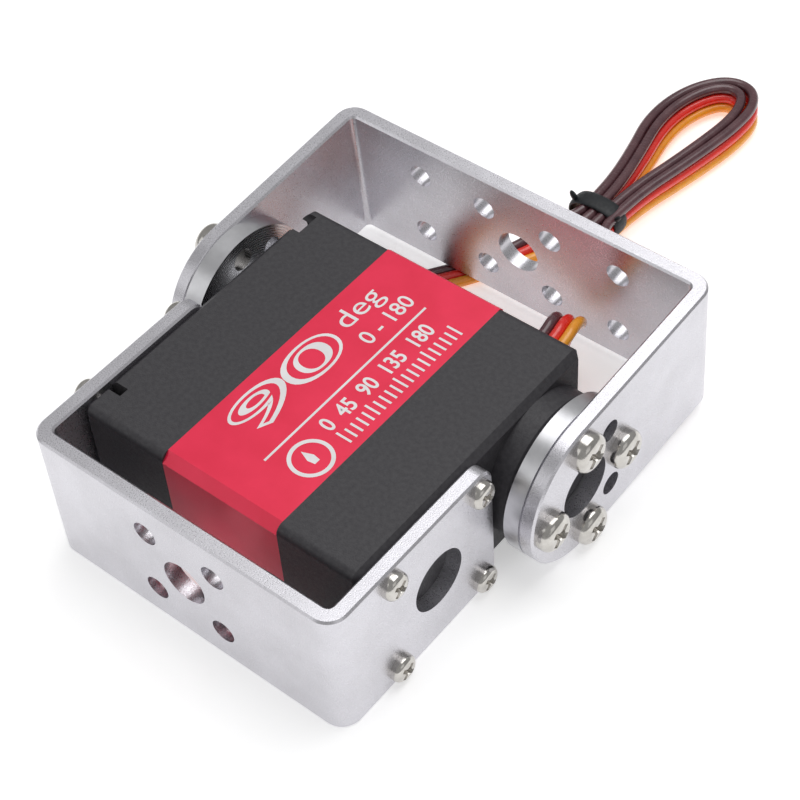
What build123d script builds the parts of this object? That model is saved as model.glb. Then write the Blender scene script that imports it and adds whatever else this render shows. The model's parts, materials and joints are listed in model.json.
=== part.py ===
from build123d import *
import math
import os

# Single-axis servo bracket joint, in millimetres.
# The origin is the centre of the short bracket's base, on its outer face.
# +Y runs from that base to the long bracket's base, +X is the shaft axis and +Z is up.
# The joint lies on its side, on the plane Z = -WIDTH / 2.

# ---- driving dimensions -------------------------------------------------
PLATE = 2.0
WIDTH = 20.0
SHAFT_Y = 37.0
REST_TILT = 3.5
FLOOR = -WIDTH / 2

SERVO_LENGTH = 40.0
SERVO_REAR = SHAFT_Y + 9.5
SERVO_MIDDLE = SERVO_REAR - SERVO_LENGTH / 2
SERVO_HALF = 20.25
GEAR_COVER_EDGE = -7.7
REAR_COVER_EDGE = 9.0
CASE_WALL = 1.5
CASE_CORNER = 1.1

SHORT_INNER = 2 * SERVO_HALF
SHORT_ARM = 27.0
SHORT_HOLE_Y = 17.0
COVER_SCREW_X = 15.0
COVER_SCREW_Z = 15.4
FRONT_SCREW_Y = SHORT_HOLE_Y - COVER_SCREW_X / 2
INNER_SCREW_Y = SHORT_HOLE_Y + COVER_SCREW_X / 2
REAR_SCREW_Y = SHAFT_Y + 6.6
REAR_SCREW_Z = 7.4

LONG_INNER = 51.0
LONG_REACH = 24.5
BEND_OUTER = 2.6
BEND_INNER = 0.7
EDGE_BREAK = 0.25
CENTRE_HOLE = 3.0
ARM_HOLE = 4.0
M3_HOLE = 1.5
BASE_HOLE = 1.6
HOLE_PITCH = 10.0

HORN_RADIUS = 10.0
HORN_CIRCLE = 7.0
HUB_RADIUS = 5.4
OUTPUT_DISC = 2.5
IDLER_DISC = 2.0
COLLAR_RADIUS = 9.2
COLLAR_END_X = 23.1
BOSS_RADIUS = 3.93
SPLINE_TEETH = 25

AXLE_PITCH = 10.0
MIDDLE_AXLE_Y = SHAFT_Y - AXLE_PITCH
MOTOR_Y = SHAFT_Y - 2 * AXLE_PITCH
AXLE_RADIUS = 1.0
FINE_MODULE = 0.4
COARSE_MODULE = 0.5
PRESSURE_ANGLE = math.radians(20)
BACKLASH = 0.06
CHAMBER_X = -17.0
WEB = 2.0

LEAD_X = 13.2
LEAD_Z = 3.3
WIRE = 1.4
RIBBON = 3 * WIRE
LEAD_TUBE = 1.4
RUN_Z = FLOOR + LEAD_TUBE / 2

os.makedirs("parts", exist_ok=True)


def across(x, y=SHAFT_Y, z=0.0, tilt=0.0):
    """A plane facing +X: its own x runs along Y, its own y along Z."""
    angle = math.radians(tilt)
    return Plane(origin=(x, y, z), x_dir=(0, math.cos(angle), math.sin(angle)), z_dir=(1, 0, 0))


def flat(z, tilt=0.0, y=0.0):
    """A plane facing +Z, leaned back about the X axis by the given tilt."""
    angle = math.radians(tilt)
    normal = Vector(0, -math.sin(angle), math.cos(angle))
    return Plane(origin=Vector(0, y, 0) + normal * z, x_dir=(1, 0, 0), z_dir=normal)


def upright(y, tilt=0.0, pivot=0.0):
    """A plane facing +Y, at a distance y from the pivot, turned with the long bracket."""
    angle = math.radians(tilt)
    normal = Vector(0, math.cos(angle), math.sin(angle))
    return Plane(origin=Vector(0, pivot, 0) + normal * y, x_dir=(1, 0, 0), z_dir=normal)


def save(piece, name):
    """Label a finished piece and write its STEP file."""
    piece.part.label = name
    export_step(piece.part, "parts/" + name + ".step")


def outline_edges(piece, tilt):
    """The long edges of a folded strip, along both of its rims."""
    lift = Axis((0, 0, 0), flat(0, tilt).z_dir)
    faces = piece.faces().filter_by(lift).group_by(lift)
    return ShapeList(faces[0].edges() + faces[-1].edges())


# ---- short bracket ------------------------------------------------------
with BuildPart() as short_bracket:
    with BuildSketch(flat(FLOOR)):
        with Locations((0, SHORT_ARM / 2)):
            Rectangle(SHORT_INNER + 2 * PLATE, SHORT_ARM)
        with Locations((0, PLATE + SHORT_ARM / 2)):
            Rectangle(SHORT_INNER, SHORT_ARM, mode=Mode.SUBTRACT)
    extrude(amount=WIDTH)
    upright_edges = short_bracket.edges().filter_by(Axis.Z).group_by(Axis.Y)
    fillet(upright_edges[0], radius=BEND_OUTER)
    fillet(upright_edges[1], radius=BEND_INNER)
    tip_corners = short_bracket.edges().filter_by(Axis.X).group_by(Axis.Y)[-1]
    fillet(tip_corners, radius=2.2)
    chamfer(outline_edges(short_bracket, 0), length=EDGE_BREAK)
    with BuildSketch(upright(0)):
        Circle(CENTRE_HOLE)
        with GridLocations(HOLE_PITCH, HOLE_PITCH, 2, 2):
            Circle(BASE_HOLE)
    extrude(amount=PLATE, mode=Mode.SUBTRACT)
    with BuildSketch(across(-SHORT_INNER, SHORT_HOLE_Y)):
        Circle(ARM_HOLE)
        with GridLocations(COVER_SCREW_X, COVER_SCREW_Z, 2, 2):
            Circle(1.1)
    extrude(amount=2 * SHORT_INNER, mode=Mode.SUBTRACT)
save(short_bracket, "short_bracket")

# ---- long bracket -------------------------------------------------------
LONG_LENGTH = LONG_REACH + PLATE + HORN_RADIUS
with BuildPart() as long_bracket:
    with BuildSketch(flat(FLOOR, REST_TILT, SHAFT_Y)):
        with Locations((0, LONG_LENGTH / 2 - HORN_RADIUS)):
            Rectangle(LONG_INNER + 2 * PLATE, LONG_LENGTH)
        with Locations((0, LONG_LENGTH / 2 - HORN_RADIUS - PLATE)):
            Rectangle(LONG_INNER, LONG_LENGTH, mode=Mode.SUBTRACT)
    extrude(amount=WIDTH)
    fold_axis = Axis((0, SHAFT_Y, 0), flat(0, REST_TILT).z_dir)
    reach_axis = Axis((0, SHAFT_Y, 0), upright(0, REST_TILT).z_dir)
    fold_edges = long_bracket.edges().filter_by(fold_axis).group_by(reach_axis)
    fillet(fold_edges[-1], radius=BEND_OUTER)
    fillet(fold_edges[-2], radius=BEND_INNER)
    with BuildSketch(across(-LONG_INNER, tilt=REST_TILT)):
        Circle(HORN_RADIUS)
        with Locations((LONG_REACH, 0)):
            Rectangle(2 * LONG_REACH, WIDTH)
    extrude(amount=2 * LONG_INNER, mode=Mode.INTERSECT)
    chamfer(outline_edges(long_bracket, REST_TILT), length=EDGE_BREAK)
    with BuildSketch(across(-LONG_INNER, tilt=REST_TILT)):
        Circle(ARM_HOLE)
        with PolarLocations(HORN_CIRCLE, 4):
            Circle(M3_HOLE + 0.1)
        with PolarLocations(HORN_CIRCLE, 2, start_angle=-45, angular_range=90, endpoint=True):
            Circle(M3_HOLE)
    extrude(amount=2 * LONG_INNER, mode=Mode.SUBTRACT)
    with BuildSketch(upright(LONG_REACH, REST_TILT, SHAFT_Y)):
        Circle(CENTRE_HOLE)
        with GridLocations(HOLE_PITCH, HOLE_PITCH, 4, 2):
            Circle(BASE_HOLE)
    extrude(amount=PLATE, mode=Mode.SUBTRACT)
save(long_bracket, "long_bracket")

# ---- servo case ---------------------------------------------------------
FRONT_POSTS = [(FRONT_SCREW_Y - SERVO_MIDDLE, side * COVER_SCREW_Z / 2) for side in (-1, 1)]
REAR_POSTS = [(REAR_SCREW_Y - SERVO_MIDDLE, side * REAR_SCREW_Z) for side in (-1, 1)]
INNER_POSTS = [(INNER_SCREW_Y - SERVO_MIDDLE, side * COVER_SCREW_Z / 2) for side in (-1, 1)]
POST_RADIUS = 1.9
CAVITY_LENGTH = SERVO_LENGTH - 2 * CASE_WALL
CAVITY_HEIGHT = WIDTH - 2 * CASE_WALL


def case_cavity(posts):
    """The hollow of a case shell, less the round posts that its screws run in."""
    Rectangle(CAVITY_LENGTH, CAVITY_HEIGHT)
    with Locations(*posts):
        Circle(POST_RADIUS, mode=Mode.SUBTRACT)


def round_cut(x, y, z, radius, depth):
    """Cut a round hole that runs from x towards +X."""
    with BuildSketch(across(x, y, z)) as hole:
        Circle(radius)
    extrude(hole.sketch, amount=depth, mode=Mode.SUBTRACT)


HEAD_SEAT_X = -17.5
NOTCH_WIDTH = 1.3
SCALLOP_RADIUS = 1.6
BEARING_FACE_X = -19.5
with BuildPart() as gear_cover:
    with BuildSketch(across(-SERVO_HALF, SERVO_MIDDLE)):
        Rectangle(SERVO_LENGTH, WIDTH)
    extrude(amount=SERVO_HALF + GEAR_COVER_EDGE)
    fillet(gear_cover.edges().filter_by(Axis.X), radius=CASE_CORNER)
    chamfer(gear_cover.faces().sort_by(Axis.X)[0].edges(), length=1.0)
    with BuildSketch(across(CHAMBER_X, SERVO_MIDDLE)):
        case_cavity(FRONT_POSTS + REAR_POSTS)
    extrude(amount=GEAR_COVER_EDGE - CHAMBER_X, mode=Mode.SUBTRACT)
    with BuildSketch(across(-SERVO_HALF, SERVO_MIDDLE)):
        with Locations(*FRONT_POSTS, *REAR_POSTS):
            Circle(POST_RADIUS)
        for post_y, post_z in FRONT_POSTS:
            with Locations((post_y + NOTCH_WIDTH, math.copysign(WIDTH / 2, post_z))):
                Rectangle(NOTCH_WIDTH, WIDTH - 2 * abs(post_z))
    extrude(amount=SERVO_HALF + HEAD_SEAT_X, mode=Mode.SUBTRACT)
    with BuildSketch(across(-SERVO_HALF, SERVO_MIDDLE)):
        for post_y, post_z in REAR_POSTS:
            with Locations((post_y, math.copysign(WIDTH / 2, post_z))):
                Circle(SCALLOP_RADIUS)
    extrude(amount=2.0, mode=Mode.SUBTRACT)
    with BuildSketch(across(-SERVO_HALF, SERVO_MIDDLE)):
        with Locations(*FRONT_POSTS):
            Circle(1.0)
        with Locations(*REAR_POSTS):
            Circle(1.1)
    extrude(amount=SERVO_HALF + GEAR_COVER_EDGE, mode=Mode.SUBTRACT)
    with BuildSketch(across(-SERVO_HALF, SERVO_MIDDLE)):
        with Locations(*INNER_POSTS):
            Circle(1.0)
    extrude(amount=3.0, mode=Mode.SUBTRACT)
    round_cut(-SERVO_HALF, SHAFT_Y, 0, 3.4, 3.0)
    round_cut(BEARING_FACE_X, SHAFT_Y, 0, 5.0, CHAMBER_X - BEARING_FACE_X)
    round_cut(CHAMBER_X - 1.2, MIDDLE_AXLE_Y, 0, AXLE_RADIUS, 1.2)
    round_cut(CHAMBER_X - 1.2, MOTOR_Y, 0, AXLE_RADIUS, 1.2)
save(gear_cover, "gear_cover")

AXLE_END_X = GEAR_COVER_EDGE + 1.5
with BuildPart() as mid_case:
    with BuildSketch(across(GEAR_COVER_EDGE, SERVO_MIDDLE)):
        Rectangle(SERVO_LENGTH, WIDTH)
    extrude(amount=REAR_COVER_EDGE - GEAR_COVER_EDGE)
    case_edges = mid_case.edges().filter_by(Axis.X).group_by(Axis.Y)
    chamfer(case_edges[0], length=1.2)
    chamfer(case_edges[-1], length=0.5)
    with BuildSketch(across(GEAR_COVER_EDGE + WEB, SERVO_MIDDLE)):
        case_cavity(FRONT_POSTS + REAR_POSTS)
    extrude(amount=REAR_COVER_EDGE - GEAR_COVER_EDGE - WEB, mode=Mode.SUBTRACT)
    with BuildSketch(across(GEAR_COVER_EDGE, SERVO_MIDDLE)):
        with Locations(*FRONT_POSTS):
            Circle(1.0)
        with Locations(*REAR_POSTS):
            Circle(1.1)
    extrude(amount=REAR_COVER_EDGE - GEAR_COVER_EDGE, mode=Mode.SUBTRACT)
    round_cut(GEAR_COVER_EDGE, SHAFT_Y, 0, 1.5, WEB)
    round_cut(GEAR_COVER_EDGE, MOTOR_Y, 0, 2.6, WEB)
    round_cut(GEAR_COVER_EDGE, MIDDLE_AXLE_Y, 0, AXLE_RADIUS, 1.5)
save(mid_case, "mid_case")

REAR_CAVITY_X = 18.25
BOSS_END_X = 25.2
GROMMET_WIDTH = RIBBON + 0.9
GROMMET_HEIGHT = WIRE + 1.2
with BuildPart() as rear_cover:
    with BuildSketch(across(REAR_COVER_EDGE, SERVO_MIDDLE)):
        Rectangle(SERVO_LENGTH, WIDTH)
    extrude(amount=SERVO_HALF - REAR_COVER_EDGE)
    fillet(rear_cover.edges().filter_by(Axis.X), radius=CASE_CORNER)
    chamfer(rear_cover.faces().sort_by(Axis.X)[-1].edges(), length=0.8)
    with BuildSketch(across(REAR_COVER_EDGE, SERVO_MIDDLE)):
        case_cavity(FRONT_POSTS + REAR_POSTS + INNER_POSTS)
    extrude(amount=REAR_CAVITY_X - REAR_COVER_EDGE, mode=Mode.SUBTRACT)
    with BuildSketch(across(REAR_COVER_EDGE, SERVO_MIDDLE)):
        with Locations(*FRONT_POSTS):
            Circle(1.0)
    extrude(amount=SERVO_HALF - REAR_COVER_EDGE, mode=Mode.SUBTRACT)
    with BuildSketch(across(SERVO_HALF - 3.0, SERVO_MIDDLE)):
        with Locations(*INNER_POSTS):
            Circle(1.0)
    extrude(amount=3.0, mode=Mode.SUBTRACT)
    with BuildSketch(across(REAR_COVER_EDGE, SERVO_MIDDLE)):
        with Locations(*REAR_POSTS):
            Circle(1.0)
    extrude(amount=7.6, mode=Mode.SUBTRACT)
    with BuildSketch(across(SERVO_HALF)):
        Circle(COLLAR_RADIUS)
    extrude(amount=COLLAR_END_X - SERVO_HALF)
    chamfer(rear_cover.faces().sort_by(Axis.X)[-1].edges(), length=0.3)
    with BuildSketch(across(COLLAR_END_X)):
        Circle(BOSS_RADIUS)
    extrude(amount=BOSS_END_X - COLLAR_END_X)
    with BuildSketch(upright(SERVO_REAR - CASE_WALL)):
        with Locations((LEAD_X, -LEAD_Z)):
            Rectangle(GROMMET_WIDTH, GROMMET_HEIGHT)
    extrude(amount=CASE_WALL, mode=Mode.SUBTRACT)
save(rear_cover, "rear_cover")


# ---- screws -------------------------------------------------------------
def screw_set(plane, places, side, head, length):
    """Pan-head screws with a cross recess, whose heads stand out along side * X."""
    head_radius, head_height, shank_radius, recess = head
    with BuildPart() as screws:
        with BuildSketch(plane):
            with Locations(*places):
                Circle(head_radius)
        extrude(amount=side * head_height)
        crown = screws.edges().group_by(Axis.X)[-1 if side > 0 else 0]
        fillet(crown, radius=0.62 * head_height)
        with BuildSketch(plane):
            with Locations(*places):
                Circle(shank_radius)
        extrude(amount=-side * length)
        with BuildSketch(plane.offset(side * head_height)):
            with Locations(*places):
                Circle(0.5 * recess)
                Rectangle(2 * recess, 0.5 * recess, rotation=45)
                Rectangle(2 * recess, 0.5 * recess, rotation=-45)
        extrude(amount=-side * 0.65 * head_height, taper=14, mode=Mode.SUBTRACT)
    return screws


M2_HEAD = (1.75, 1.25, 0.99, 1.1)
M3_HEAD = (2.5, 1.75, 1.49, 1.55)
SHORT_FACE = SHORT_INNER / 2 + PLATE
LONG_FACE = LONG_INNER / 2 + PLATE
FRONT_PLACES = [(-COVER_SCREW_X / 2, side * COVER_SCREW_Z / 2) for side in (-1, 1)]
INNER_PLACES = [(COVER_SCREW_X / 2, side * COVER_SCREW_Z / 2) for side in (-1, 1)]
HORN_PLACES = [(HORN_CIRCLE, 0), (0, HORN_CIRCLE), (-HORN_CIRCLE, 0), (0, -HORN_CIRCLE)]

left_side = across(-SHORT_FACE, SHORT_HOLE_Y)
right_side = across(SHORT_FACE, SHORT_HOLE_Y)
save(screw_set(left_side, FRONT_PLACES, -1, M2_HEAD, 18.0), "bracket_long_screws_left")
save(screw_set(left_side, INNER_PLACES, -1, M2_HEAD, 5.0), "bracket_short_screws_left")
save(screw_set(right_side, FRONT_PLACES, 1, M2_HEAD, 16.0), "bracket_long_screws_right")
save(screw_set(right_side, INNER_PLACES, 1, M2_HEAD, 5.0), "bracket_short_screws_right")
save(screw_set(across(HEAD_SEAT_X, SERVO_MIDDLE), REAR_POSTS, -1, (1.75, 1.2, 0.99, 1.0), 34.0), "case_screws")
save(screw_set(across(-LONG_FACE, tilt=REST_TILT), HORN_PLACES, -1, M3_HEAD, 4.0), "horn_screws_left")
save(screw_set(across(LONG_FACE, tilt=REST_TILT), HORN_PLACES, 1, M3_HEAD, 4.0), "horn_screws_right")


# ---- gears --------------------------------------------------------------
def gear_outline(teeth, module, tip, turn=0.0):
    """An involute spur gear face, with a tooth centred on its own x axis, then turned."""
    pitch_radius = module * teeth / 2
    base_radius = pitch_radius * math.cos(PRESSURE_ANGLE)
    tip_radius = pitch_radius + tip * module
    root_radius = pitch_radius - 1.25 * module
    half_tooth = (math.pi * module / 2 - BACKLASH) / (2 * pitch_radius)
    base_half = half_tooth + math.tan(PRESSURE_ANGLE) - PRESSURE_ANGLE
    flank = [(root_radius, base_half)]
    steps = 4
    for step in range(steps + 1):
        radius = base_radius + (tip_radius - base_radius) * step / steps
        roll = math.acos(base_radius / radius)
        flank.append((radius, base_half - math.tan(roll) + roll))
    points = []
    for tooth in range(teeth):
        centre = 2 * math.pi * tooth / teeth + math.radians(turn)
        for radius, half in flank:
            points.append((radius * math.cos(centre - half), radius * math.sin(centre - half)))
        for radius, half in reversed(flank):
            points.append((radius * math.cos(centre + half), radius * math.sin(centre + half)))
    Polygon(*points, align=None)


def compound_gear(y, wheel, pinion, bore):
    """A wheel and a pinion in one piece; each is (teeth, module, tip, turn, low x, high x)."""
    with BuildPart() as gear:
        for teeth, module, tip, turn, low, high in (wheel, pinion):
            with BuildSketch(across(low, y)):
                gear_outline(teeth, module, tip, turn)
            extrude(amount=high - low)
        first = min(wheel[4], pinion[4])
        round_cut(first, y, 0, bore, max(wheel[5], pinion[5]) - first)
    return gear


WHEEL_TIP = 0.6
PINION_TIP = 0.9
RUNNING_BORE = AXLE_RADIUS + 0.03
first_gear = compound_gear(
    MIDDLE_AXLE_Y,
    (40, FINE_MODULE, WHEEL_TIP, 0, -10.4, -9.2),
    (10, FINE_MODULE, PINION_TIP, 18, -12.6, -10.4),
    RUNNING_BORE,
)
save(first_gear, "first_gear")
second_gear = compound_gear(
    MOTOR_Y,
    (40, FINE_MODULE, WHEEL_TIP, 0, -12.2, -10.9),
    (12, FINE_MODULE, PINION_TIP, 15, -14.6, -12.2),
    RUNNING_BORE,
)
save(second_gear, "second_gear")
third_gear = compound_gear(
    MIDDLE_AXLE_Y,
    (38, FINE_MODULE, WHEEL_TIP, 0, -14.3, -12.9),
    (10, COARSE_MODULE, PINION_TIP, 18, -16.6, -14.3),
    RUNNING_BORE,
)
save(third_gear, "third_gear")

MOTOR_SHAFT = 0.75
with BuildPart() as motor_pinion:
    with BuildSketch(across(-10.6, MOTOR_Y)):
        gear_outline(10, FINE_MODULE, PINION_TIP, 18)
        Circle(MOTOR_SHAFT, mode=Mode.SUBTRACT)
    extrude(amount=2.3)
save(motor_pinion, "motor_pinion")

GEAR_LOW = -16.4
GEAR_HIGH = -14.6
SHAFT_TIP_X = -23.6
HORN_INNER_X = -20.6


def spline_outline(outer, inner):
    """The toothed outline that keys the horn to the output shaft."""
    points = []
    for tooth in range(SPLINE_TEETH):
        for radius, share in ((outer, 0.0), (inner, 0.5)):
            angle = 2 * math.pi * (tooth + share) / SPLINE_TEETH
            points.append((radius * math.cos(angle), radius * math.sin(angle)))
    Polygon(*points, align=None)


with BuildPart() as output_shaft:
    with BuildSketch(across(GEAR_LOW)):
        gear_outline(30, COARSE_MODULE, WHEEL_TIP)
    extrude(amount=GEAR_HIGH - GEAR_LOW)
    with BuildSketch(across(CHAMBER_X)):
        Circle(3.5)
    extrude(amount=GEAR_LOW - CHAMBER_X)
    with BuildSketch(across(HORN_INNER_X)):
        Circle(2.97)
    extrude(amount=CHAMBER_X - HORN_INNER_X)
    with BuildSketch(across(SHAFT_TIP_X)):
        spline_outline(2.95, 2.7)
    extrude(amount=HORN_INNER_X - SHAFT_TIP_X)
    round_cut(SHAFT_TIP_X, SHAFT_Y, 0, M3_HOLE, 6.4)
    round_cut(GEAR_HIGH - 1.5, SHAFT_Y, 0, AXLE_RADIUS, 1.5)
save(output_shaft, "output_shaft")

with BuildPart() as output_bearing:
    with BuildSketch(across(BEARING_FACE_X)):
        Circle(5.0)
        Circle(3.0, mode=Mode.SUBTRACT)
    extrude(amount=CHAMBER_X - BEARING_FACE_X)
    with BuildSketch(across(BEARING_FACE_X)):
        Circle(4.4)
        Circle(3.6, mode=Mode.SUBTRACT)
    extrude(amount=0.2, mode=Mode.SUBTRACT)
save(output_bearing, "output_bearing")


def pin(x, y, radius, length):
    """A plain round pin that runs from x towards +X."""
    with BuildPart() as piece:
        with BuildSketch(across(x, y)):
            Circle(radius)
        extrude(amount=length)
        chamfer(piece.edges(), length=0.15)
    return piece


save(pin(CHAMBER_X - 1.2, MIDDLE_AXLE_Y, AXLE_RADIUS, AXLE_END_X - CHAMBER_X + 1.2), "middle_axle")
save(pin(CHAMBER_X - 1.2, MOTOR_Y, AXLE_RADIUS, 7.2), "front_axle")

# ---- motor --------------------------------------------------------------
MOTOR_FACE_X = GEAR_COVER_EDGE + WEB
MOTOR_END_X = 12.3
CAN_RADIUS = 8.0
with BuildPart() as motor_can:
    with BuildSketch(across(MOTOR_FACE_X, MOTOR_Y)):
        Circle(CAN_RADIUS)
    extrude(amount=MOTOR_END_X - 2.2 - MOTOR_FACE_X)
    with BuildSketch(across(MOTOR_FACE_X - 1.2, MOTOR_Y)):
        Circle(2.5)
    extrude(amount=1.2)
    round_cut(MOTOR_FACE_X + 1.0, MOTOR_Y, 0, CAN_RADIUS - 0.7, MOTOR_END_X - MOTOR_FACE_X)
    round_cut(MOTOR_FACE_X - 1.2, MOTOR_Y, 0, MOTOR_SHAFT + 0.04, 3.0)
save(motor_can, "motor_can")

with BuildPart() as motor_end_cap:
    with BuildSketch(across(MOTOR_END_X - 2.2, MOTOR_Y)):
        Circle(CAN_RADIUS)
    extrude(amount=2.2)
    round_cut(MOTOR_END_X - 2.2, MOTOR_Y, 0, MOTOR_SHAFT + 0.04, 1.6)
save(motor_end_cap, "motor_end_cap")

with BuildPart() as motor_armature:
    with BuildSketch(across(MOTOR_FACE_X + 1.6, MOTOR_Y)):
        Circle(6.8)
        with PolarLocations(6.8, 5):
            Rectangle(3.4, 0.9, mode=Mode.SUBTRACT)
    extrude(amount=11.2)
    with BuildSketch(across(-10.6, MOTOR_Y)):
        Circle(MOTOR_SHAFT)
    extrude(amount=MOTOR_END_X - 0.8 + 10.6)
save(motor_armature, "motor_armature")

# ---- position sensor and circuit board ----------------------------------
POT_SHAFT_END = -3.5
with BuildPart() as potentiometer:
    with BuildSketch(across(MOTOR_FACE_X)):
        RectangleRounded(9.6, 9.6, 1.2)
    extrude(amount=5.5)
    round_cut(MOTOR_FACE_X, SHAFT_Y, 0, 1.04, 3.2)
    with BuildSketch(across(MOTOR_FACE_X + 5.5, SHAFT_Y)):
        with GridLocations(0, 2.5, 1, 3):
            Rectangle(0.6, 0.8)
    extrude(amount=4.0)
save(potentiometer, "potentiometer")
save(pin(GEAR_HIGH - 1.5, SHAFT_Y, AXLE_RADIUS, POT_SHAFT_END - GEAR_HIGH + 1.5), "pot_shaft")

BOARD_X = 13.2
BOARD_Y = 24.8
with BuildPart() as circuit_board:
    with BuildSketch(across(BOARD_X, BOARD_Y)):
        RectangleRounded(30.4, 11.0, 0.8)
        with Locations((-13.2, 0), (13.2, 0)):
            Circle(0.9, mode=Mode.SUBTRACT)
    extrude(amount=1.2)
save(circuit_board, "circuit_board")

with BuildPart() as board_components:
    with BuildSketch(across(BOARD_X + 1.2, BOARD_Y)):
        with Locations((-8, 0)):
            Rectangle(6.0, 6.0)
        with Locations((0.5, 2.4), (0.5, -2.4)):
            Rectangle(4.0, 3.2)
        with Locations((6.5, 3.0), (6.5, 0), (6.5, -3.0)):
            Rectangle(1.6, 0.9)
    extrude(amount=1.0)
    with BuildSketch(across(BOARD_X + 1.2, BOARD_Y)):
        with Locations((10, -2.6)):
            Circle(1.5)
    extrude(amount=2.6)
save(board_components, "board_components")


# ---- horns --------------------------------------------------------------
def horn_disc(x, thickness):
    """A round disc with six tapped holes."""
    with BuildSketch(across(x, tilt=REST_TILT)) as disc:
        Circle(HORN_RADIUS)
    extrude(disc.sketch, amount=thickness)
    with BuildSketch(across(x, tilt=REST_TILT)) as holes:
        with PolarLocations(HORN_CIRCLE, 4):
            Circle(M3_HOLE)
        with PolarLocations(HORN_CIRCLE, 2, start_angle=-45, angular_range=90, endpoint=True):
            Circle(M3_HOLE - 0.2)
    extrude(holes.sketch, amount=thickness, mode=Mode.SUBTRACT)


LONG_HALF = LONG_INNER / 2
with BuildPart() as output_horn:
    horn_disc(-LONG_HALF, OUTPUT_DISC)
    with BuildSketch(across(OUTPUT_DISC - LONG_HALF)):
        Circle(HUB_RADIUS)
    extrude(amount=HORN_INNER_X + LONG_HALF - OUTPUT_DISC)
    with BuildSketch(across(SHAFT_TIP_X)):
        spline_outline(2.96, 2.71)
    extrude(amount=HORN_INNER_X - SHAFT_TIP_X, mode=Mode.SUBTRACT)
    round_cut(-LONG_HALF, SHAFT_Y, 0, 3.2, 1.0)
    round_cut(-LONG_HALF, SHAFT_Y, 0, M3_HOLE + 0.1, LONG_HALF + SHAFT_TIP_X)
save(output_horn, "output_horn")

with BuildPart() as idler_horn:
    horn_disc(LONG_HALF - IDLER_DISC, IDLER_DISC)
    round_cut(LONG_HALF - IDLER_DISC, SHAFT_Y, 0, ARM_HOLE, IDLER_DISC)
save(idler_horn, "idler_horn")

centre_screw = screw_set(across(-LONG_HALF + 1.0, tilt=REST_TILT), [(0, 0)], -1, (2.8, 1.8, 1.49, 1.5), 7.0)
save(centre_screw, "horn_centre_screw")

# ---- lead ---------------------------------------------------------------
FLANGE = 0.8
with BuildPart() as lead_grommet:
    with BuildSketch(upright(SERVO_REAR - CASE_WALL)):
        with Locations((LEAD_X, -LEAD_Z)):
            Rectangle(GROMMET_WIDTH, GROMMET_HEIGHT)
    extrude(amount=CASE_WALL)
    with BuildSketch(upright(SERVO_REAR)):
        with Locations((LEAD_X, -LEAD_Z)):
            RectangleRounded(GROMMET_WIDTH + 1.0, GROMMET_HEIGHT + 1.2, 0.9)
    extrude(amount=FLANGE)
    with BuildSketch(upright(SERVO_REAR - CASE_WALL)):
        with Locations((LEAD_X, -LEAD_Z)):
            Rectangle(RIBBON, WIRE)
    extrude(amount=CASE_WALL + FLANGE, mode=Mode.SUBTRACT)
save(lead_grommet, "lead_grommet")

BOARD_END_Y = BOARD_Y + 15.2
LEAD_EXIT_Y = SERVO_REAR + FLANGE
with BuildPart() as lead_inner_end:
    with BuildSketch(upright(BOARD_END_Y)):
        with Locations((LEAD_X, -LEAD_Z)):
            Rectangle(RIBBON, WIRE)
    extrude(amount=LEAD_EXIT_Y - BOARD_END_Y)
save(lead_inner_end, "lead_inner_end")

# The lead's route: out of the grommet, down to the surface, along it behind the servo,
# under the raised edge of the long bracket's base and up to the hank.
LEAD_ROUTE = [
    (LEAD_X, LEAD_EXIT_Y, LEAD_Z),
    (13.2, 50.4, 3.3),
    (12.6, 54.0, 3.6),
    (11.7, 56.4, 0.9),
    (10.8, 56.2, -5.2),
    (8.0, 54.6, RUN_Z),
    (4.0, 52.4, RUN_Z),
    (-1.0, 51.0, RUN_Z),
    (-7.2, 50.2, RUN_Z),
    (-12.4, 51.0, RUN_Z),
    (-14.8, 54.4, RUN_Z),
    (-13.4, 58.0, RUN_Z),
    (-10.2, 62.6, RUN_Z),
    (-7.6, 67.2, RUN_Z),
    (-5.4, 71.2, RUN_Z),
    (-3.9, 75.2, RUN_Z),
]


def corner_radii(route):
    """The largest smooth arc for each corner: 0.45 of the shorter run over tan(turn / 2)."""
    points = [Vector(*point) for point in route]
    radii = []
    for before, corner, after in zip(points, points[1:], points[2:]):
        run_in = corner - before
        run_out = after - corner
        turn = math.radians(run_in.get_angle(run_out))
        radii.append(0.45 * min(run_in.length, run_out.length) / math.tan(turn / 2))
    return radii


radii = corner_radii(LEAD_ROUTE)
print("lead radii", [round(radius, 1) for radius in radii])
with BuildPart() as lead:
    with BuildLine() as lead_line:
        FilletPolyline(*LEAD_ROUTE, radius=radii)
    with BuildSketch(Plane(origin=LEAD_ROUTE[0], z_dir=lead_line.line % 0)):
        Circle(LEAD_TUBE / 2)
    sweep()
lead_length = sum(edge.length for edge in lead_line.edges())
section_volume = math.pi * LEAD_TUBE ** 2 / 4 * lead_length
print("lead length", round(lead_length, 1), "volume", round(lead.part.volume, 1), round(section_volume, 1))
save(lead, "lead")

HANK_LOW = FLOOR + 0.02
HANK_HIGH = FLOOR + 4.6
TIE_Y = 79.0
TIE_WIDTH = 3.0
TIE_LEFT = -5.2
TIE_RIGHT = 2.9
TIE_HEIGHT = 5.1
TIE_WALL = 0.4
BUNDLE_LEFT = -3.5
BUNDLE_RIGHT = 2.5
PLUG_START_X = 1.8
PLUG_LENGTH = 14.0
PLUG_Y = 70.6
PLUG_HEIGHT = 2.6

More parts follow.
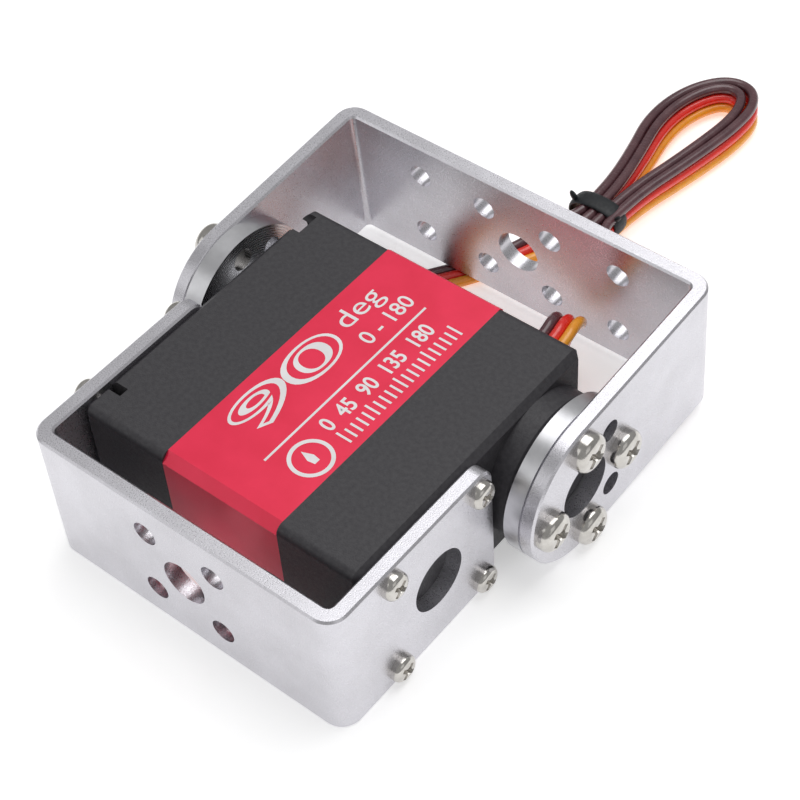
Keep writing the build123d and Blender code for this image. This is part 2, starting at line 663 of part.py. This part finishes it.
# The outer shape of the folded and tied part of the lead, seen from above: a tail to the
# plug and the turned-back ends, the neck inside the tie, and two nested loops.
HANK_OUTLINE = [
    (-4.9, 75.55),
    (-2.9, 74.85),
    (-2.9, 71.2),
    (-1.6, 69.8),
    (PLUG_START_X, 69.8),
    (PLUG_START_X, 71.4),
    (-0.8, 71.6),
    (-1.0, 74.9),
    (4.3, 74.9),
    (4.3, 76.6),
    (BUNDLE_RIGHT, TIE_Y),
    (BUNDLE_RIGHT, TIE_Y + TIE_WIDTH),
    (4.2, 88.0),
    (5.4, 94.0),
    (6.4, 100.0),
    (6.6, 106.5),
    (5.6, 111.0),
    (2.5, 113.7),
    (-1.6, 113.5),
    (-5.0, 109.4),
    (-6.4, 103.8),
    (-6.4, 98.0),
    (-5.0, 93.0),
    (-4.1, 87.5),
    (BUNDLE_LEFT, TIE_Y + TIE_WIDTH),
    (BUNDLE_LEFT, TIE_Y),
]
with BuildPart() as lead_hank:
    with BuildSketch(Plane.XY.offset(HANK_LOW)):
        Polygon(*HANK_OUTLINE, align=None)
    extrude(amount=HANK_HIGH - HANK_LOW)
    with BuildSketch(upright(TIE_Y)):
        with Locations((TIE_LEFT, -FLOOR)):
            Rectangle(4 * PLUG_LENGTH, 2 * TIE_WALL)
    extrude(amount=TIE_WIDTH, mode=Mode.SUBTRACT)
save(lead_hank, "lead_hank")

with BuildPart() as cable_tie:
    with BuildSketch(upright(TIE_Y)):
        with Locations(((TIE_LEFT + TIE_RIGHT) / 2, -(FLOOR + TIE_HEIGHT / 2))):
            RectangleRounded(TIE_RIGHT - TIE_LEFT, TIE_HEIGHT, 0.9)
        with Locations(((BUNDLE_LEFT + BUNDLE_RIGHT) / 2, -(FLOOR + TIE_WALL + HANK_HIGH) / 2)):
            Rectangle(BUNDLE_RIGHT - BUNDLE_LEFT, HANK_HIGH - FLOOR - TIE_WALL, mode=Mode.SUBTRACT)
    extrude(amount=TIE_WIDTH)
save(cable_tie, "cable_tie")

with BuildPart() as plug_housing:
    with BuildSketch(across(PLUG_START_X, PLUG_Y, FLOOR + PLUG_HEIGHT / 2)):
        Rectangle(7.6, PLUG_HEIGHT)
    extrude(amount=PLUG_LENGTH)
    chamfer(plug_housing.edges().filter_by(Axis.X), length=0.3)
    with BuildSketch(across(PLUG_START_X + 1.0, PLUG_Y, FLOOR + PLUG_HEIGHT / 2)):
        with GridLocations(2.54, 1, 3, 1):
            Rectangle(1.1, 1.1)
    extrude(amount=PLUG_LENGTH - 1.0, mode=Mode.SUBTRACT)
save(plug_housing, "plug_housing")

with BuildPart() as plug_contacts:
    with BuildSketch(across(PLUG_START_X + 1.0, PLUG_Y, FLOOR + PLUG_HEIGHT / 2)):
        with GridLocations(2.54, 1, 3, 1):
            Rectangle(1.1, 1.1)
            Rectangle(0.7, 0.7, mode=Mode.SUBTRACT)
    extrude(amount=10.0)
save(plug_contacts, "plug_contacts")
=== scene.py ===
import json
import math

import bpy
from mathutils import Matrix, Vector


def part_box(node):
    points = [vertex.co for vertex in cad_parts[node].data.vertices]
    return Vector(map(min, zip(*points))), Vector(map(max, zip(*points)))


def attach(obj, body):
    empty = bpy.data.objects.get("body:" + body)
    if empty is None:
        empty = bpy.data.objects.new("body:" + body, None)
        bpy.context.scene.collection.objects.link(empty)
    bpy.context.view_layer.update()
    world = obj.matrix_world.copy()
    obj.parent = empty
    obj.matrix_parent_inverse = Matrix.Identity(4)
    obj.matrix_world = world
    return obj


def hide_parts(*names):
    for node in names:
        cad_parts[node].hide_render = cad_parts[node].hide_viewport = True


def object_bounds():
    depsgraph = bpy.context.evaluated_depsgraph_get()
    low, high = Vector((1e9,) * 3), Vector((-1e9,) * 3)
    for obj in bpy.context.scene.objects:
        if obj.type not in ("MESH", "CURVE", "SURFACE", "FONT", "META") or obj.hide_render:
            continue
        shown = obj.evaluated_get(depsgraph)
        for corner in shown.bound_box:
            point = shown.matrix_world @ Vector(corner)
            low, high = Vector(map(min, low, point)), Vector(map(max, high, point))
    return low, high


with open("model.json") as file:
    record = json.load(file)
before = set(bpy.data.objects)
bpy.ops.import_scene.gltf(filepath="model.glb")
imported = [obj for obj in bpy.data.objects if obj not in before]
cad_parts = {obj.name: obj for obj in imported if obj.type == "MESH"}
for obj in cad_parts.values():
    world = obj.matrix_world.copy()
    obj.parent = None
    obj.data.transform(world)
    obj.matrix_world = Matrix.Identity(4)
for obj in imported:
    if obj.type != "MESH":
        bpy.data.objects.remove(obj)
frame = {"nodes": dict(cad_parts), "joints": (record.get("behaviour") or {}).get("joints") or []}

MM = 0.001
CAD_BOX = [list(corner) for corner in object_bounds()]
NODES = frame["nodes"]
FLOOR = CAD_BOX[0][2]
CASE_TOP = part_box("mid_case")[1][2]
SHAFT = Vector(frame["joints"][0]["pos_m"])

# ---- camera ---------------------------------------------------------------
CAMERA_PLACE = Vector((105.7565, -78.1696, 175.3161)) * MM
CAMERA_RIGHT = Vector((0.77771873, 0.6262214, -0.05477531))
CAMERA_UP = Vector((-0.44518017, 0.61020165, 0.65533851))
LENS_MM = 88.86


def make_camera():
    """A long lens, above and to the right of the short bracket."""
    data = bpy.data.cameras.new("camera")
    data.lens = LENS_MM
    data.clip_start = 0.01
    camera = bpy.data.objects.new("camera", data)
    back = CAMERA_RIGHT.cross(CAMERA_UP)
    turn = Matrix((CAMERA_RIGHT, CAMERA_UP, back)).transposed().to_4x4()
    camera.matrix_world = Matrix.Translation(CAMERA_PLACE) @ turn
    bpy.context.scene.collection.objects.link(camera)
    bpy.context.scene.camera = camera


make_camera()


# ---- materials ------------------------------------------------------------
def new_material(name):
    """An empty node material and its shader."""
    material = bpy.data.materials.new(name)
    material.use_nodes = True
    return material, material.node_tree, material.node_tree.nodes["Principled BSDF"]


def grain(tree, scale, detail=4.0, place=None):
    """Noise in the object's own space, with its scale in features per metre."""
    place = place or tree.nodes.new("ShaderNodeTexCoord").outputs["Object"]
    noise = tree.nodes.new("ShaderNodeTexNoise")
    noise.inputs["Scale"].default_value = scale
    noise.inputs["Detail"].default_value = detail
    tree.links.new(place, noise.inputs["Vector"])
    return noise.outputs["Fac"]


def spread(tree, source, low, high, start=0.3, end=0.7):
    """Maps a noise value to a range."""
    node = tree.nodes.new("ShaderNodeMapRange")
    node.inputs["From Min"].default_value = start
    node.inputs["From Max"].default_value = end
    node.inputs["To Min"].default_value = low
    node.inputs["To Max"].default_value = high
    tree.links.new(source, node.inputs["Value"])
    return node.outputs["Result"]


def two_colours(tree, source, first, second, start=0.35, end=0.65):
    """Blends between two colours by a noise value."""
    node = tree.nodes.new("ShaderNodeMix")
    node.data_type = "RGBA"
    node.inputs["A"].default_value = (*first, 1)
    node.inputs["B"].default_value = (*second, 1)
    tree.links.new(spread(tree, source, 0, 1, start, end), node.inputs["Factor"])
    return node.outputs["Result"]


def bump(tree, source, distance, strength=1.0, normal=None):
    """Turns a height value into a normal; distance is the relief in metres."""
    node = tree.nodes.new("ShaderNodeBump")
    node.inputs["Distance"].default_value = distance
    node.inputs["Strength"].default_value = strength
    tree.links.new(source, node.inputs["Height"])
    if normal:
        tree.links.new(normal, node.inputs["Normal"])
    return node.outputs["Normal"]


def finish_material(
    name,
    first,
    second,
    metallic=0.0,
    roughness=(0.4, 0.5),
    mottle=300,
    fine=3000,
    relief=0.01,
    coat=0.0,
):
    """A worn or moulded surface: mottled colour, uneven gloss and a fine raised grain."""
    material, tree, shader = new_material(name)
    shader.inputs["Metallic"].default_value = metallic
    shader.inputs["Coat Weight"].default_value = coat
    shader.inputs["Coat Roughness"].default_value = 0.12
    cloud = grain(tree, mottle)
    tree.links.new(two_colours(tree, cloud, first, second), shader.inputs["Base Color"])
    speckle = grain(tree, fine, detail=2.0)
    tree.links.new(spread(tree, speckle, *roughness), shader.inputs["Roughness"])
    tree.links.new(bump(tree, speckle, relief * MM), shader.inputs["Normal"])
    return material


def turned_metal(name, first, second, roughness):
    """Lathe-turned metal: fine rings about the shaft axis."""
    material, tree, shader = new_material(name)
    shader.inputs["Metallic"].default_value = 1.0
    coordinates = tree.nodes.new("ShaderNodeTexCoord").outputs["Object"]
    centred = tree.nodes.new("ShaderNodeVectorMath")
    centred.operation = "SUBTRACT"
    centred.inputs[1].default_value = SHAFT
    tree.links.new(coordinates, centred.inputs[0])
    rings = tree.nodes.new("ShaderNodeTexWave")
    rings.wave_type = "RINGS"
    rings.rings_direction = "X"
    rings.inputs["Scale"].default_value = 900
    rings.inputs["Distortion"].default_value = 0.4
    rings.inputs["Detail Scale"].default_value = 2.0
    tree.links.new(centred.outputs["Vector"], rings.inputs["Vector"])
    cloud = grain(tree, 500)
    tree.links.new(two_colours(tree, cloud, first, second), shader.inputs["Base Color"])
    tree.links.new(spread(tree, rings.outputs["Fac"], *roughness, 0, 1), shader.inputs["Roughness"])
    tree.links.new(bump(tree, rings.outputs["Fac"], 0.0004 * MM), shader.inputs["Normal"])
    return material


BRACKET = finish_material(
    "blasted_aluminium",
    (0.61, 0.60, 0.635),
    (0.67, 0.66, 0.70),
    metallic=0.92,
    roughness=(0.24, 0.38),
    mottle=160,
    fine=6500,
    relief=0.012,
)
BLACK_CASE = finish_material(
    "moulded_black",
    (0.03, 0.028, 0.033),
    (0.044, 0.042, 0.047),
    roughness=(0.42, 0.6),
    mottle=1800,
    fine=5200,
    relief=0.03,
)
RED_CASE = finish_material(
    "red_anodised",
    (0.84, 0.014, 0.065),
    (0.90, 0.02, 0.08),
    metallic=0.25,
    roughness=(0.3, 0.42),
    mottle=200,
    fine=6000,
    relief=0.008,
    coat=0.25,
)
SCREW = finish_material(
    "nickel_plate",
    (0.52, 0.50, 0.47),
    (0.62, 0.60, 0.57),
    metallic=1.0,
    roughness=(0.1, 0.24),
    mottle=900,
    fine=2600,
    relief=0.004,
)
HORN = turned_metal("turned_aluminium", (0.60, 0.60, 0.62), (0.68, 0.68, 0.70), (0.2, 0.34))
STEEL = finish_material(
    "ground_steel", (0.42, 0.42, 0.42), (0.52, 0.52, 0.52), metallic=1.0, roughness=(0.2, 0.35)
)
DARK_SCREW = finish_material(
    "dark_plated", (0.12, 0.12, 0.12), (0.2, 0.2, 0.2), metallic=1.0, roughness=(0.25, 0.4)
)
BRASS = finish_material(
    "gear_brass", (0.62, 0.42, 0.15), (0.72, 0.52, 0.22), metallic=1.0, roughness=(0.22, 0.35)
)
BOARD = finish_material(
    "solder_resist", (0.01, 0.10, 0.04), (0.015, 0.13, 0.05), roughness=(0.25, 0.4)
)
CHIPS = finish_material(
    "moulded_chips", (0.01, 0.01, 0.01), (0.03, 0.03, 0.03), roughness=(0.35, 0.5)
)
IRON = finish_material(
    "laminated_iron", (0.12, 0.10, 0.09), (0.3, 0.15, 0.08), metallic=1.0, roughness=(0.4, 0.6)
)
BLACK_PLASTIC = finish_material(
    "black_nylon",
    (0.012, 0.012, 0.014),
    (0.02, 0.02, 0.023),
    roughness=(0.3, 0.45),
    mottle=900,
    fine=4000,
)
BLACK_TIE = finish_material(
    "black_tie",
    (0.004, 0.005, 0.007),
    (0.009, 0.011, 0.014),
    roughness=(0.42, 0.6),
    mottle=700,
    fine=2500,
    relief=0.03,
)


def wire_material(name, first, second):
    """The smooth, glossy insulation of one wire of the lead."""
    return finish_material(
        name, first, second, roughness=(0.2, 0.3), mottle=500, fine=2200, relief=0.006, coat=0.5
    )


BROWN_WIRE = wire_material("brown_wire", (0.085, 0.032, 0.040), (0.12, 0.05, 0.058))
RED_WIRE = wire_material("red_wire", (0.80, 0.022, 0.014), (0.86, 0.032, 0.02))
ORANGE_WIRE = wire_material("orange_wire", (0.90, 0.34, 0.022), (0.95, 0.40, 0.03))
PRINT = finish_material(
    "white_print", (0.82, 0.80, 0.81), (0.9, 0.88, 0.89), roughness=(0.4, 0.55)
)

NODE_MATERIALS = {
    "short_bracket": BRACKET,
    "long_bracket": BRACKET,
    "gear_cover": BLACK_CASE,
    "rear_cover": BLACK_CASE,
    "mid_case": RED_CASE,
    "bracket_long_screws_left": SCREW,
    "bracket_short_screws_left": SCREW,
    "bracket_long_screws_right": SCREW,
    "bracket_short_screws_right": SCREW,
    "horn_screws_left": SCREW,
    "horn_screws_right": SCREW,
    "horn_centre_screw": SCREW,
    "case_screws": DARK_SCREW,
    "output_horn": HORN,
    "idler_horn": HORN,
    "output_shaft": STEEL,
    "output_bearing": STEEL,
    "pot_shaft": STEEL,
    "middle_axle": STEEL,
    "front_axle": STEEL,
    "motor_can": STEEL,
    "first_gear": BRASS,
    "second_gear": BRASS,
    "third_gear": BRASS,
    "motor_pinion": BRASS,
    "motor_armature": IRON,
    "circuit_board": BOARD,
    "board_components": CHIPS,
    "motor_end_cap": BLACK_PLASTIC,
    "potentiometer": BLACK_PLASTIC,
    "lead_grommet": BLACK_PLASTIC,
    "plug_housing": BLACK_PLASTIC,
    "plug_contacts": BRASS,
    "lead_inner_end": RED_WIRE,
}
for node_name, node_material in NODE_MATERIALS.items():
    for place in NODES[node_name].material_slots:
        place.material = node_material


# ---- mesh helpers ---------------------------------------------------------
def make_object(name, points, faces, materials, face_materials=None, smooth=True):
    """A mesh object from plain lists."""
    mesh = bpy.data.meshes.new(name)
    mesh.from_pydata(points, [], faces)
    for material in materials:
        mesh.materials.append(material)
    if face_materials:
        mesh.polygons.foreach_set("material_index", face_materials)
    mesh.polygons.foreach_set("use_smooth", [smooth] * len(faces))
    mesh.update()
    piece = bpy.data.objects.new(name, mesh)
    bpy.context.scene.collection.objects.link(piece)
    return piece


# ---- lead -----------------------------------------------------------------
WIRE = 1.4
LEAD_EXIT = (13.2, 47.3, 3.3)
LYING = -9.3
STANDING = -7.6
NECK = -7.5

# Control points of the ribbon's centre line: x, y, z in millimetres and its roll in degrees.
# At roll 0 the ribbon lies flat with its orange wire to the right of its heading, and at
# roll 90 it stands on the orange wire with the brown wire on top.
LEAD_ROUTE = [
    (*LEAD_EXIT, 0),
    (13.2, 50.4, 3.3, 0),
    (12.6, 54.0, 3.6, 0),
    (11.7, 56.4, 0.9, 0),
    (10.8, 56.2, -5.2, 0),
    (8.0, 54.6, LYING, 0),
    (4.0, 52.4, LYING, 0),
    (-1.0, 51.0, LYING, 0),
    (-7.2, 50.2, LYING, 0),
    (-12.4, 51.0, LYING, 0),
    (-14.8, 54.4, LYING, 0),
    (-13.4, 58.0, LYING, 0),
    (-10.2, 62.6, LYING, 0),
    (-7.6, 67.2, LYING, 0),
    (-5.4, 71.2, -9.0, 8),
    (-3.7, 74.8, -8.0, 50),
    (-2.5, 77.9, -7.6, 84),
    (-2.3, 81.2, NECK, 86),
    (-2.5, 87.0, NECK, 76),
    (-3.7, 93.5, STANDING, 66),
    (-5.0, 98.5, STANDING, 62),
    (-5.0, 103.6, STANDING, 62),
    (-3.6, 108.4, STANDING, 64),
    (-0.8, 111.9, STANDING, 70),
    (2.8, 112.2, STANDING, 84),
    (5.0, 109.2, STANDING, 98),
    (5.2, 104.5, STANDING, 102),
    (4.6, 99.5, STANDING, 102),
    (3.4, 93.0, STANDING, 98),
    (2.2, 87.0, NECK, 94),
    (1.7, 81.2, NECK, 90),
    (1.8, 77.6, NECK, 90),
    (3.1, 76.3, STANDING, 90),
    (2.1, 75.5, STANDING, 90),
    (0.2, 76.2, STANDING, 90),
    (0.3, 78.2, NECK, 90),
    (0.35, 81.2, NECK, 90),
    (0.9, 87.0, NECK, 86),
    (2.1, 93.0, STANDING, 82),
    (3.2, 99.5, STANDING, 78),
    (3.8, 104.5, STANDING, 78),
    (3.4, 108.1, STANDING, 84),
    (1.8, 110.6, STANDING, 100),
    (-0.8, 110.2, STANDING, 110),
    (-2.6, 107.3, STANDING, 116),
    (-3.6, 103.3, STANDING, 118),
    (-3.5, 98.8, STANDING, 118),
    (-2.3, 93.5, STANDING, 114),
    (-1.15, 87.0, NECK, 104),
    (-0.95, 81.2, NECK, 92),
    (-1.1, 77.6, NECK, 90),
    (-1.9, 74.6, STANDING, 80),
    (-2.0, 71.8, -8.2, 55),
    (-0.4, 70.5, -8.6, 15),
    (2.2, 70.6, -8.7, 0),
]
STEPS = 8
SIDES = 14


def smooth_line(points):
    """The points of the NURBS line that a list of control points shapes."""
    data = bpy.data.curves.new("guide", "CURVE")
    data.dimensions = "3D"
    spline = data.splines.new("NURBS")
    spline.points.add(len(points) - 1)
    for place, point in zip(spline.points, points):
        place.co = (*point, 1)
    spline.order_u = 3
    spline.use_endpoint_u = True
    spline.resolution_u = STEPS
    guide = bpy.data.objects.new("guide", data)
    bpy.context.scene.collection.objects.link(guide)
    graph = bpy.context.evaluated_depsgraph_get()
    mesh = bpy.data.meshes.new_from_object(guide.evaluated_get(graph))
    line = [vertex.co.copy() for vertex in mesh.vertices]
    bpy.data.objects.remove(guide)
    bpy.data.meshes.remove(mesh)
    return line


def ribbon_frames(line, rolls):
    """For each point of the line, the directions across the ribbon and out of its face."""
    frames = []
    for index, roll in enumerate(rolls):
        before = line[max(index - 1, 0)]
        after = line[min(index + 1, len(line) - 1)]
        heading = (after - before).normalized()
        right = heading.cross(Vector((0, 0, 1))).normalized()
        rise = right.cross(heading)
        angle = math.radians(roll)
        across = right * math.cos(angle) - rise * math.sin(angle)
        frames.append((across, across.cross(heading)))
    return frames


def make_lead():
    """Three bonded wires in one ribbon, from the grommet to the plug."""
    line = smooth_line([Vector(point[:3]) * MM for point in LEAD_ROUTE])
    rolls = [point.x for point in smooth_line([(place[3], 0, 0) for place in LEAD_ROUTE])]
    frames = ribbon_frames(line, rolls)
    radius = WIRE * MM / 2
    points = []
    faces = []
    paint = []
    for wire in range(3):
        first = len(points)
        shift = (wire - 1) * WIRE * MM
        for centre, (across, out) in zip(line, frames):
            for side in range(SIDES):
                angle = 2 * math.pi * side / SIDES
                ring = across * (shift + radius * math.cos(angle)) + out * radius * math.sin(angle)
                points.append(centre + ring)
        for step in range(len(line) - 1):
            low = first + step * SIDES
            for side in range(SIDES):
                turn = (side + 1) % SIDES
                faces.append((low + side, low + turn, low + SIDES + turn, low + SIDES + side))
        faces.append([first + side for side in reversed(range(SIDES))])
        faces.append([len(points) - SIDES + side for side in range(SIDES)])
        paint += [wire] * (len(faces) - len(paint))
    lead = make_object("lead_ribbon", points, faces, [BROWN_WIRE, RED_WIRE, ORANGE_WIRE], paint)
    length = sum((b - a).length for a, b in zip(line, line[1:]))
    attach(lead, "servo")
    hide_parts("lead", "lead_hank")
    return lead, line, length


lead, lead_line, lead_length = make_lead()


# ---- tie ------------------------------------------------------------------
# The root and the tip of each cut end of the tie, and their half widths, in millimetres.
TIE_TAILS = [
    ((-4.1, 79.9, -6.3), (-4.8, 79.4, -4.1)),
    ((2.1, 79.9, -6.4), (3.0, 79.5, -4.8)),
]
ROOT_HALF = 0.6
TIP_HALF = 0.4
TIE_WALL = 0.8
TIE_STEPS = 48
TIE_SQUARENESS = 0.82

# The band's section, as shares of half its width and of half its wall: crowned outside.
TIE_SECTION = [(-1, 0), (-0.75, 1), (0.75, 1), (1, 0), (0.75, -0.6), (-0.75, -0.6)]


def make_tie():
    """A thin black band pulled round the neck of the hank, with its two cut ends."""
    low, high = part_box("cable_tie")
    middle = (Vector(low) + Vector(high)) / 2
    half_width = (high[0] - low[0]) / 2
    half_depth = (high[1] - low[1]) / 2
    half_height = (high[2] - low[2]) / 2
    points = []
    for step in range(TIE_STEPS):
        angle = 2 * math.pi * step / TIE_STEPS
        x = math.copysign(abs(math.cos(angle)) ** TIE_SQUARENESS, math.cos(angle))
        z = math.copysign(abs(math.sin(angle)) ** TIE_SQUARENESS, math.sin(angle))
        for along, out in TIE_SECTION:
            reach = TIE_WALL * MM * 0.5 * (out - 1)
            points.append(
                (
                    middle.x + x * (half_width + reach),
                    middle.y + along * half_depth * 0.98,
                    middle.z + z * (half_height + reach),
                )
            )
    sides = len(TIE_SECTION)
    faces = []
    for step in range(TIE_STEPS):
        low_ring = step * sides
        high_ring = (step + 1) % TIE_STEPS * sides
        for side in range(sides):
            turn = (side + 1) % sides
            faces.append((low_ring + side, low_ring + turn, high_ring + turn, high_ring + side))
    for root, tip in TIE_TAILS:
        first = len(points)
        for end, half in ((root, ROOT_HALF), (tip, TIP_HALF)):
            for x, y in ((-half, -half), (half, -half), (half, half), (-half, half)):
                points.append(((Vector(end) + Vector((x, y, 0))) * MM)[:])
        for side in range(4):
            turn = (side + 1) % 4
            faces.append((first + side, first + turn, first + 4 + turn, first + 4 + side))
        faces.append((first + 3, first + 2, first + 1, first))
        faces.append((first + 4, first + 5, first + 6, first + 7))
    band = make_object("tie_band", points, faces, [BLACK_TIE])
    smoother = band.modifiers.new("round", "SUBSURF")
    smoother.levels = 1
    smoother.render_levels = 2
    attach(band, "servo")
    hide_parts("cable_tie")
    return band


tie = make_tie()


# ---- printed face ---------------------------------------------------------
# The label's places and sizes are in millimetres, and its rows read along +Y.
PRINT_LIFT = 0.012 * MM
DIAL_LINE = 0.5
DIAL_POINTER = [(-1.5, 0.0), (-0.1, 0.55), (0.9, 0.4), (0.9, -0.4), (-0.1, -0.55)]
TICKS = 21
TICK_START = 20.3
TICK_PITCH = 0.99
TICK_WIDTH = 0.3
TICK_FEET = 7.9
TICK_TOP = 6.1
LONG_TICK_TOP = 5.7


def print_piece(name, data_object):
    """Makes a flat printed mark ride with the servo."""
    data_object.name = name
    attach(data_object, "servo")
    return data_object


def printed_text(name, body, x, y, size, length, material=PRINT, weight=0.0, lift=PRINT_LIFT):
    """Figures that read along +Y with their feet towards +X, stretched to a length."""
    data = bpy.data.curves.new(name, "FONT")
    data.body = body
    data.size = size * MM
    data.offset = weight * MM
    data.resolution_u = 8
    holder = bpy.data.objects.new(name, data)
    bpy.context.scene.collection.objects.link(holder)
    graph = bpy.context.evaluated_depsgraph_get()
    mesh = bpy.data.meshes.new_from_object(holder.evaluated_get(graph))
    bpy.data.objects.remove(holder)
    low = min(vertex.co.x for vertex in mesh.vertices)
    high = max(vertex.co.x for vertex in mesh.vertices)
    stretch = length * MM / (high - low)
    for vertex in mesh.vertices:
        along = (vertex.co.x - low) * stretch
        vertex.co = (x * MM - vertex.co.y, y * MM + along, CASE_TOP + lift)
    mesh.materials.clear()
    mesh.materials.append(material)
    piece = bpy.data.objects.new(name, mesh)
    bpy.context.scene.collection.objects.link(piece)
    return print_piece(name, piece)


def printed_bars(name, bars):
    """Flat printed strips, each given by its lowest and highest corner in millimetres."""
    points = []
    faces = []
    for low_x, low_y, high_x, high_y in bars:
        start = len(points)
        for x, y in ((low_x, low_y), (high_x, low_y), (high_x, high_y), (low_x, high_y)):
            points.append((x * MM, y * MM, CASE_TOP + PRINT_LIFT))
        faces.append((start, start + 1, start + 2, start + 3))
    return print_piece(name, make_object(name, points, faces, [PRINT], smooth=False))


def printed_dial(name, x, y, radius):
    """A small dial: a ring, and a pointer inside it."""
    points = []
    faces = []
    height = CASE_TOP + PRINT_LIFT
    around = 48
    for reach in (radius, radius - DIAL_LINE):
        for step in range(around):
            angle = 2 * math.pi * step / around
            points.append(
                ((x + reach * math.cos(angle)) * MM, (y + reach * math.sin(angle)) * MM, height)
            )
    for step in range(around):
        ahead = (step + 1) % around
        faces.append((step, ahead, around + ahead, around + step))
    start = len(points)
    for along, side in DIAL_POINTER:
        points.append(((x + along) * MM, (y + side) * MM, height))
    faces.append(tuple(range(start, len(points))))
    return print_piece(name, make_object(name, points, faces, [PRINT], smooth=False))


printed_bars("print_rule", [(1.75, 12.8, 2.05, 41.1)])
printed_text("print_range_edge", "90", -1.3, 14.4, 6.9, 17.2, weight=0.24)
printed_text(
    "print_range_fill", "90", -1.3, 14.88, 6.9, 16.24, RED_CASE, weight=-0.12, lift=2 * PRINT_LIFT
)
printed_text("print_degrees", "deg", -3.2, 33.2, 4.0, 6.6)
printed_text("print_span", "0 - 180", 0.4, 32.8, 3.0, 8.4, weight=0.03)
printed_text("print_scale", "0  45  90  135  180", 5.1, 20.2, 2.9, 18.8, weight=0.06)
tick_bars = []
for tick in range(TICKS):
    tick_y = TICK_START + tick * TICK_PITCH
    tick_top = TICK_TOP if tick % 5 else LONG_TICK_TOP
    tick_bars.append((tick_top, tick_y, TICK_FEET, tick_y + TICK_WIDTH))
printed_bars("print_ticks", tick_bars)
printed_dial("print_dial", 5.8, 16.1, 2.7)

# ---- floor and light ------------------------------------------------------
FLOOR_REACH = 3.0
LIGHT_AIM = (0, 0.03, 0)


def make_floor():
    """A plain white floor."""
    r = FLOOR_REACH
    corners = [(-r, -r, FLOOR), (r, -r, FLOOR), (r, r, FLOOR), (-r, r, FLOOR)]
    material, tree, shader = new_material("studio_white")
    shader.inputs["Base Color"].default_value = (0.93, 0.93, 0.93, 1)
    shader.inputs["Roughness"].default_value = 0.9
    shader.inputs["Emission Color"].default_value = (1, 1, 1, 1)
    shader.inputs["Emission Strength"].default_value = 0.42
    floor = make_object("floor", corners, [(0, 1, 2, 3)], [material], smooth=False)


def make_light(name, place, target, size, power):
    """A square soft box that faces a point."""
    data = bpy.data.lights.new(name, "AREA")
    data.shape = "SQUARE"
    data.size = size
    data.energy = power
    light = bpy.data.objects.new(name, data)
    light.location = place
    aim = Vector(target) - Vector(place)
    light.rotation_euler = aim.to_track_quat("-Z", "Y").to_euler()
    bpy.context.scene.collection.objects.link(light)


make_floor()
make_light("top_box", (0.0, 0.22, 0.62), LIGHT_AIM, 0.55, 2.2)
make_light("side_box", (0.55, -0.1, 0.35), LIGHT_AIM, 0.35, 0.15)
make_light("front_box", (-0.35, -0.5, 0.35), LIGHT_AIM, 0.4, 0.35)

world = bpy.data.worlds.new("studio")
world.use_nodes = True
world.node_tree.nodes["Background"].inputs["Color"].default_value = (1, 1, 1, 1)
world.node_tree.nodes["Background"].inputs["Strength"].default_value = 0.38
bpy.context.scene.world = world
bpy.context.scene.view_settings.view_transform = "Standard"
